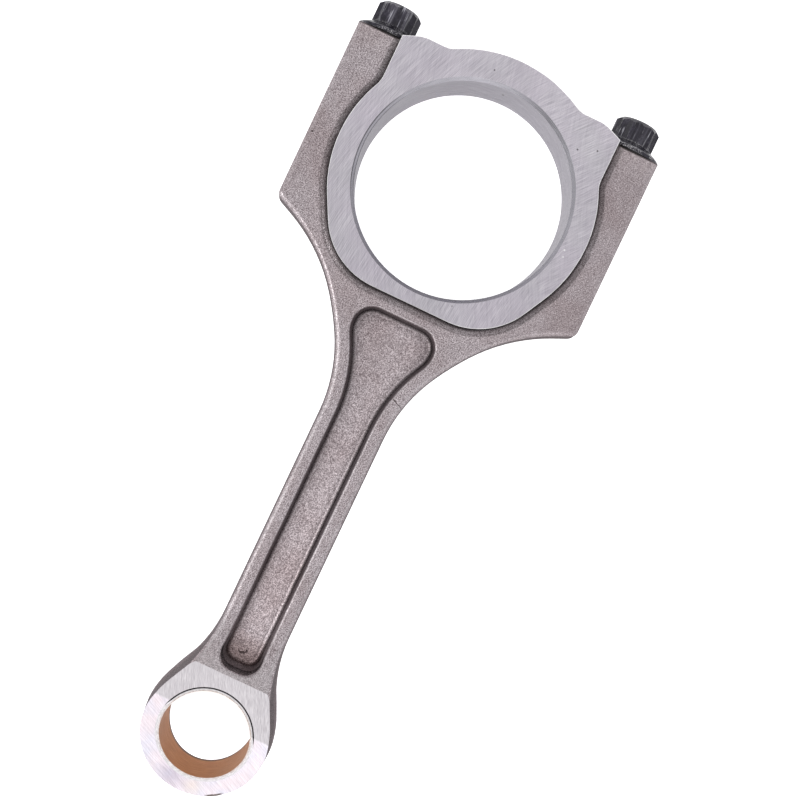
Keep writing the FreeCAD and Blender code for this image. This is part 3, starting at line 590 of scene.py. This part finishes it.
def bored_hole():
    """Bolt holes and small-end eye: dark, ringed along X."""
    mat = Finish("bored_hole")
    x, y, z = mat.position.split()
    ring = mat.vector(x * 6.0, y * 0.2, z * 0.2).noise(scale=1.0, detail=2.0)
    base = ring.ramp((0.35, (0.12, 0.115, 0.11)), (0.65, (0.42, 0.41, 0.40)))
    return mat.surface(Base_Color=base, Metallic=0.9, Roughness=0.42,
                       Normal=ring.bump(strength=0.5, depth=0.12))


# ------------------------------------------------------------ bolts and bush
def black_bolt(name, axis_y):
    """Black oxide: nearly black, satin, faintly blue; edges rubbed and scuffed bright, partly as
    painted highlights; painted sheen, streaks and a painted shadow under the flange.
    """
    mat = Finish(name)
    pos = mat.position
    x, y, z = pos.split()
    cloud = pos.noise(scale=0.8, detail=4.0, rough=0.6)
    fine = pos.noise(scale=5.0, detail=2.0, rough=0.5)
    base = cloud.ramp((0.30, (0.010, 0.0092, 0.015)),
                      (0.55, (0.022, 0.020, 0.031)),
                      (0.75, (0.040, 0.036, 0.052)))
    # painted sheen in bands and painted highlight streaks along the flats of the head
    turn = z.math("ARCTAN2", y - axis_y)
    flat = mat.vector(turn.math("COSINE"), turn.math("SINE"), x * 0.014)
    band = flat.shift((0.0, axis_y, 0.0)).noise(scale=3.6, detail=2.0, rough=0.55)
    on_head = x.fade(-28.7, -29.2)
    base = base.toward((0.120, 0.113, 0.146), band.fade(0.51, 0.66) * on_head * 0.62)
    streak = flat.shift((7.0, axis_y, 3.0)).noise(scale=11.0, detail=1.0, rough=0.4)
    broken = pos.stretch((0.28, 0.3, 0.3)).noise(scale=1.0, detail=1.0, rough=0.5)
    streak = streak.fade(0.63, 0.70) * broken.fade(0.46, 0.56)
    base = base.toward((0.66, 0.66, 0.72), streak * on_head * 0.55)
    # edges rubbed bright, partly a painted highlight on the facet edges, less on the head
    edge = mat.edge(radius=0.26, samples=8)
    head = x.fade(-28.6, -29.1)
    worn_and_highlight = edge * pos.noise(scale=0.7, detail=3.0, rough=0.7).fade(0.50, 0.60)
    worn_and_highlight = worn_and_highlight * head.between(1.0, 0.36)
    base = base.toward((0.74, 0.73, 0.76), worn_and_highlight * 0.85)
    # scuffs on the flange cone and rim
    zone = x.fade(-29.2, -28.4) * x.fade(-26.1, -26.3)
    rubbed = (pos.noise(scale=3.4, detail=3.0, rough=0.7).fade(0.52, 0.60)
              * pos.noise(scale=0.42, detail=2.0, rough=0.5).fade(0.47, 0.58))
    scuff = zone * rubbed
    base = base.toward((0.74, 0.73, 0.74), scuff * 0.80)
    # painted shadow: a dark line at the foot of the flange
    foot = x.fade(-26.50, -26.32) * x.fade(-25.9, -26.05)
    base = base.toward((0.004, 0.003, 0.003), foot)
    # long rubs along the flanks of the head
    flank = pos.stretch((0.10, 1.3, 1.3)).noise(scale=1.3, detail=1.0, rough=0.5)
    base = base.toward((0.50, 0.50, 0.53), flank.fade(0.66, 0.72) * head * 0.35)
    metal = math_node(mat.tree, "ADD", 0.30, worn_and_highlight.max(scuff) * 0.65, clamp=True)
    rough = (cloud * 0.6 + fine * 0.4).fade(0.3, 0.7, first=0.16, last=0.32)
    return mat.surface(Base_Color=base, Metallic=metal, Roughness=rough,
                       Normal=(fine * 0.5 + cloud).bump(strength=0.12, depth=0.05),
                       Specular_IOR_Level=0.52)


def bush_steel():
    """Steel backing of the bush: fine turned rings on its ends."""
    mat = Finish("bush_steel")
    ring = arc_space(mat, (SMALL_END_X, 0.0), along=2.0).noise(scale=7.0, detail=2.0)
    base = ring.ramp((0.36, (0.60, 0.585, 0.60)),
                     (0.50, (0.70, 0.68, 0.69)),
                     (0.64, (0.82, 0.80, 0.81)))
    return mat.surface(Base_Color=base, Metallic=1.0,
                       Roughness=ring.fade(0.35, 0.65, first=0.38, last=0.28),
                       Normal=ring.bump(strength=0.08, depth=0.02))


def bronze():
    """Bronze lining: copper-brown bore with fine circumferential lines and darker smears."""
    mat = Finish("bush_bronze")
    pos = mat.position
    x, y, z = pos.split()
    around = y.math("ARCTAN2", x - SMALL_END_X) * 1.2
    ring = mat.vector(around, z * 2.0, 0.0).noise(scale=2.4, detail=3.0, rough=0.6)
    smear = pos.noise(scale=0.22, detail=3.0, rough=0.6)
    base = ring.ramp((0.32, (0.455, 0.186, 0.046)),
                     (0.50, (0.545, 0.232, 0.061)),
                     (0.68, (0.632, 0.291, 0.094)))
    base = base.wash((0.84, 0.80, 0.78), smear.fade(0.42, 0.70, last=0.6))
    # painted shadow: a dark rim at the lower end, which follows the taper beyond x = 139.2
    end = 11.3 - (x - 139.2).max(0.0) * 0.254
    rim = (end - abs(z)).fade(1.7, 0.8) * z.fade(1.0, -1.0)
    base = base.toward((0.060, 0.042, 0.034), rim * 0.9)
    speck = pos.pits(scale=0.45, size=(0.11, 0.06), rarity=(0.86, 0.88))
    base = base.toward((0.10, 0.07, 0.05), speck * 0.8)
    return mat.surface(Base_Color=base, Metallic=0.75,
                       Roughness=ring.fade(0.3, 0.7, first=0.46, last=0.34),
                       Normal=ring.bump(strength=0.12, depth=0.02))


def bush_groove():
    """Narrow groove between the bush and its housing, with old oil in it."""
    mat = Finish("bush_groove")
    grime = mat.position.noise(scale=2.0, detail=2.0)
    base = grime.ramp((0.35, (0.030, 0.024, 0.024)), (0.65, (0.085, 0.075, 0.078)))
    return mat.surface(Base_Color=base, Metallic=0.5,
                       Roughness=grime.fade(0.3, 0.7, first=0.35, last=0.55),
                       Normal=grime.bump(strength=0.2, depth=0.03))


def bush_end():
    """Turned end of the bush, a pale sheared ring of both metals."""
    mat = Finish("bush_end_ring")
    ring = arc_space(mat, (SMALL_END_X, 0.0), along=3.0).noise(scale=5.0, detail=2.0)
    patch = mat.position.noise(scale=0.5, detail=2.0)
    base = ring.ramp((0.36, (0.50, 0.45, 0.42)),
                     (0.50, (0.66, 0.62, 0.60)),
                     (0.64, (0.80, 0.77, 0.76)))
    base = base.toward((0.62, 0.52, 0.45), patch.fade(0.45, 0.65, last=0.4))
    return mat.surface(Base_Color=base, Metallic=1.0,
                       Roughness=ring.fade(0.3, 0.7, first=0.42, last=0.30),
                       Normal=ring.bump(strength=0.1, depth=0.02))


# ------------------------------------------------- finishes on the CAD pieces
def finish_of(polygon):
    """Which finish a face of the rod or cap has, from its centre (mm) and normal."""
    x, y, z = (part * 1000 for part in polygon.center)
    normal = polygon.normal
    flat = abs(normal.z)
    high = abs(z)
    big_end_radius = math.hypot(x, y)
    eye_radius = math.hypot(x - SMALL_END_X, y)
    bolt_radius = math.hypot(abs(y) - BOLT_Y, z)
    # thrust faces and the rounding around them
    if big_end_radius < 45 and high > 9.70 and flat > 0.99:
        return "ground"
    if 28.2 < big_end_radius < 45 and high > 9.70 and flat > 0.3:
        return "edge"
    # big-end bore and its chamfers
    if big_end_radius < 26.15 and flat < 0.2:
        return "bore"
    if big_end_radius < 27.35 and high > 8.6 and 0.4 < flat < 0.95:
        return "chamfer"
    # small-end eye, its flat faces and its tapers
    if eye_radius < 12.2 and flat < 0.5:
        return "hole"
    if x > 127.5 and high > 11.25 and flat > 0.99:
        return "milled"
    if x > 139.0 and abs(normal.x * TAPER_NORMAL[0] + flat * TAPER_NORMAL[1]) > 0.9995:
        return "milled"
    # joint between rod and cap
    if abs(x) < 0.2 and abs(normal.x) > 0.6 and abs(y) > 25.9:
        return "crack"
    # bolt holes, then the bolt seats and the walls around them
    if bolt_radius < 5.5 and -26.0 < x < 20.0 and abs(normal.x) < 0.95:
        return "hole"
    if x < -26.0 and normal.x < -0.99 and abs(x + 26.1) < 0.05:
        return "seat"
    if x < -26.0 and abs(bolt_radius - 8.65) < 0.08 and flat < 0.999:
        return "seat"
    return "forged"


def dress(name, materials, slots=None):
    """Give a piece its materials and, where there are several, a slot for each face."""
    mesh = nodes[name].data
    mesh.materials.clear()
    for material in materials:
        mesh.materials.append(material)
    if slots is not None:
        mesh.polygons.foreach_set("material_index", slots)
        mesh.update()


def is_groove(polygon):
    """Sloping faces at the outside of the bush backing."""
    x, y, _ = (part * 1000 for part in polygon.center)
    sloping = 0.15 < abs(polygon.normal.z) < 0.95
    return sloping and math.hypot(x - SMALL_END_X, y) > 11.6


# In the order of the material slots
FINISHES = {
    "forged": forged(),
    "ground": ground(),
    "edge": turned("rubbed_edge", steel=(0.90, 0.885, 0.90), dark_rough=0.34, light_rough=0.24),
    "bore": bore(),
    "chamfer": turned("turned_chamfer", steel=(0.62, 0.61, 0.66), dark_rough=0.28,
                      light_rough=0.20, contrast=(0.90, 1.08), dark_borders=True),
    "milled": milled(),
    "seat": turned("turned_seat", steel=(0.56, 0.55, 0.55), dark_rough=0.38, light_rough=0.26),
    "crack": fracture(),
    "hole": bored_hole(),
}

for piece in ("rod_body", "bearing_cap"):
    tags = [finish_of(polygon) for polygon in nodes[piece].data.polygons]
    used = [key for key in FINISHES if key in tags]
    dress(piece, [FINISHES[key] for key in used], [used.index(tag) for tag in tags])

dress("cap_bolt_left", [black_bolt("black_oxide_left", -BOLT_Y)])
dress("cap_bolt_right", [black_bolt("black_oxide_right", BOLT_Y)])

backing = nodes["small_end_bush_backing"].data
dress("small_end_bush_backing", [bush_steel(), bush_groove()],
      [int(is_groove(polygon)) for polygon in backing.polygons])
lining = nodes["small_end_bush_lining"].data
dress("small_end_bush_lining", [bronze(), bush_end()],
      [int(abs(polygon.normal.z) > 0.3) for polygon in lining.polygons])


# ----------------------------------------------------------------- the studio
def paper():
    """White floor paper that glows a little, more so to the camera."""
    material = bpy.data.materials.new("floor_paper")
    material.use_nodes = True
    tree = material.node_tree
    position = add_node(tree, "ShaderNodeTexCoord", output="Object")
    fibre = position.noise(scale=900.0, detail=2.0, rough=0.5)
    seen = add_node(tree, "ShaderNodeLightPath", output="Is Camera Ray")
    inputs = {
        "Base Color": fibre.ramp((0.0, (0.900, 0.900, 0.900)), (1.0, (0.925, 0.925, 0.925))),
        "Roughness": 0.9,
        "Specular IOR Level": 0.1,
        "Emission Strength": seen.math("MULTIPLY_ADD", 0.55, 0.32),
        "Emission Color": (1, 1, 1),
    }
    for name, value in inputs.items():
        put(tree, tree.nodes["Principled BSDF"].inputs[name], value)
    return material


def studio_floor():
    z = -0.01135
    half = 3.0
    mesh = bpy.data.meshes.new("floor")
    corners = [(-half, -half, z), (half, -half, z), (half, half, z), (-half, half, z)]
    mesh.from_pydata(corners, [], [(0, 1, 2, 3)])
    floor = bpy.data.objects.new("floor", mesh)
    scene.collection.objects.link(floor)
    mesh.materials.append(paper())


def studio_world():
    """A soft sky with a broad key light, two strips and one dark side."""
    world = bpy.data.worlds.new("studio")
    scene.world = world
    world.use_nodes = True
    tree = world.node_tree
    tree.nodes.clear()
    output = tree.nodes.new("ShaderNodeOutputWorld")
    background = tree.nodes.new("ShaderNodeBackground")
    tree.links.new(background.outputs[0], output.inputs[0])
    view = add_node(tree, "ShaderNodeTexCoord", output="Generated")

    def lobe(direction, power):
        """A round patch of light about a direction; a higher power makes it smaller."""
        return view.dot(Vector(direction).normalized()).max(0.0).math("POWER", power)

    sky = 0.60 + lobe((0, 0, 1), power=1.0) * 0.185
    key = lobe((0.68, 0.22, 0.70), power=9.0) * 0.84
    left_strip = lobe((-0.22, -0.66, 0.72), power=60.0) * 0.30
    right_strip = lobe((-0.20, 0.86, 0.42), power=60.0) * 0.50
    dark_side = 1.0 - lobe((0.743, -0.669, 0.12), power=6.0) * 0.66
    total = (sky + key + (left_strip + right_strip)) * dark_side
    # the camera itself sees at least plain white
    seen = add_node(tree, "ShaderNodeLightPath", output="Is Camera Ray")
    put(tree, background.inputs["Strength"], total.max(seen * 1.1))
    put(tree, background.inputs["Color"], (1.0, 0.985, 1.0))


def softbox():
    lamp = bpy.data.lights.new("softbox", "AREA")
    lamp.shape = "RECTANGLE"
    lamp.size, lamp.size_y = 0.30, 0.22
    lamp.energy = 2.2
    box = bpy.data.objects.new("softbox", lamp)
    scene.collection.objects.link(box)
    box.location = (0.42, -0.52, 0.44)
    target = Vector((0.06, 0, 0))
    box.rotation_euler = (target - box.location).to_track_quat("-Z", "Y").to_euler()


def camera():
    """Camera above the rod, looking almost straight down."""
    right = Vector((-0.42925843, 0.90298932, 0.01864095))
    down = Vector((0.90299962, 0.42866604, 0.02893293))
    forward = Vector((0.01813538, 0.02925247, -0.99940752))
    place = Vector((0.04550475, -0.00167036, 0.33516022))
    data = bpy.data.cameras.new("camera")
    holder = bpy.data.objects.new("camera", data)
    scene.collection.objects.link(holder)
    turn = Matrix((right, -down, -forward)).transposed()
    holder.matrix_world = Matrix.Translation(place) @ turn.to_4x4()
    data.sensor_width = 36.0
    data.sensor_fit = "HORIZONTAL"
    data.lens = 61.4844495
    data.clip_start = 0.01
    scene.camera = holder


studio_floor()
studio_world()
softbox()
camera()
